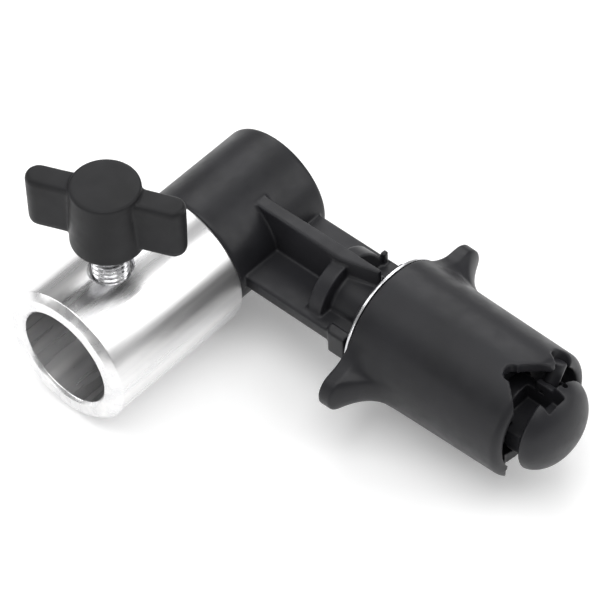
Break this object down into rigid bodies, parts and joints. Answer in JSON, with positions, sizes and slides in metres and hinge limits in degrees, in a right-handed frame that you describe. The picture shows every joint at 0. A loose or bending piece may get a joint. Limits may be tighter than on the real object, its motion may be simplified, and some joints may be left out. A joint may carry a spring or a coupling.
{
  "type": "reflector holder clip",
  "caption": "Swivel clip for a light stand: spigot socket with a wing thumbscrew, friction hub, and an arm whose sprung sleeve grips a reflector's rim against a domed head.",
  "frame": {"origin": "centre of the socket's mouth, on the tube's axis", "axes": "+Y along the socket from its mouth to the hub, +X towards the domed head, with the arm 1.6 degrees above it at rest, +Z along the thumbscrew towards its knob"},
  "size_m": [0.0817, 0.0566, 0.0424],
  "materials": {
    "turned_aluminium": "turned and polished aluminium",
    "black_nylon": "satin black moulded nylon",
    "black_knob_plastic": "satin black moulded plastic",
    "zinc_plated_steel": "bright zinc plate",
    "spring_steel": "drawn spring wire",
    "fibre_washer": "dark fibre"
  },
  "bodies": {
    "socket": {"socket_tube": "turned_aluminium", "friction_washer": "fibre_washer", "pivot_screw": "zinc_plated_steel", "plain_washer": "zinc_plated_steel", "nut_washer": "zinc_plated_steel", "pivot_lock_nut": "zinc_plated_steel"},
    "arm": {"swivel_arm": "black_nylon", "wave_washer": "spring_steel", "clamp_head": "black_nylon", "cross_pin": "zinc_plated_steel", "stop_pin": "black_nylon", "spring_seat_washer": "zinc_plated_steel", "return_spring": "spring_steel"},
    "sleeve": {"slider_sleeve": "black_nylon", "sleeve_end_ring": "zinc_plated_steel"},
    "stud": {"thumbscrew_stud": "zinc_plated_steel"},
    "knob": {"thumbscrew_knob": "black_knob_plastic"}
  },
  "joints": [
    {"name": "arm_swivel", "type": "hinge", "parent": "socket", "child": "arm", "pos_m": [0, 0.0388, 0], "axis": [0, 1, 0], "continuous": true},
    {"name": "sleeve_slide", "type": "slide", "parent": "arm", "child": "sleeve", "axis": [0.9996, 0, 0.0279], "range_m": [-0.009, 0], "stiffness_N_per_m": 900, "springref_m": 0.004, "deforming": ["return_spring"]},
    {"name": "stud_travel", "type": "slide", "parent": "socket", "child": "stud", "axis": [0, 0, 1], "range_m": [-0.006, 0.001]},
    {"name": "knob_turn", "type": "hinge", "parent": "stud", "child": "knob", "pos_m": [0, 0.0115, 0.025], "axis": [0, 0, 1], "range_deg": [-2160, 360]}
  ],
  "couplings": [
    {"joint": "knob_turn", "follows": "stud_travel", "rad_per_m": 6283.2}
  ]
}
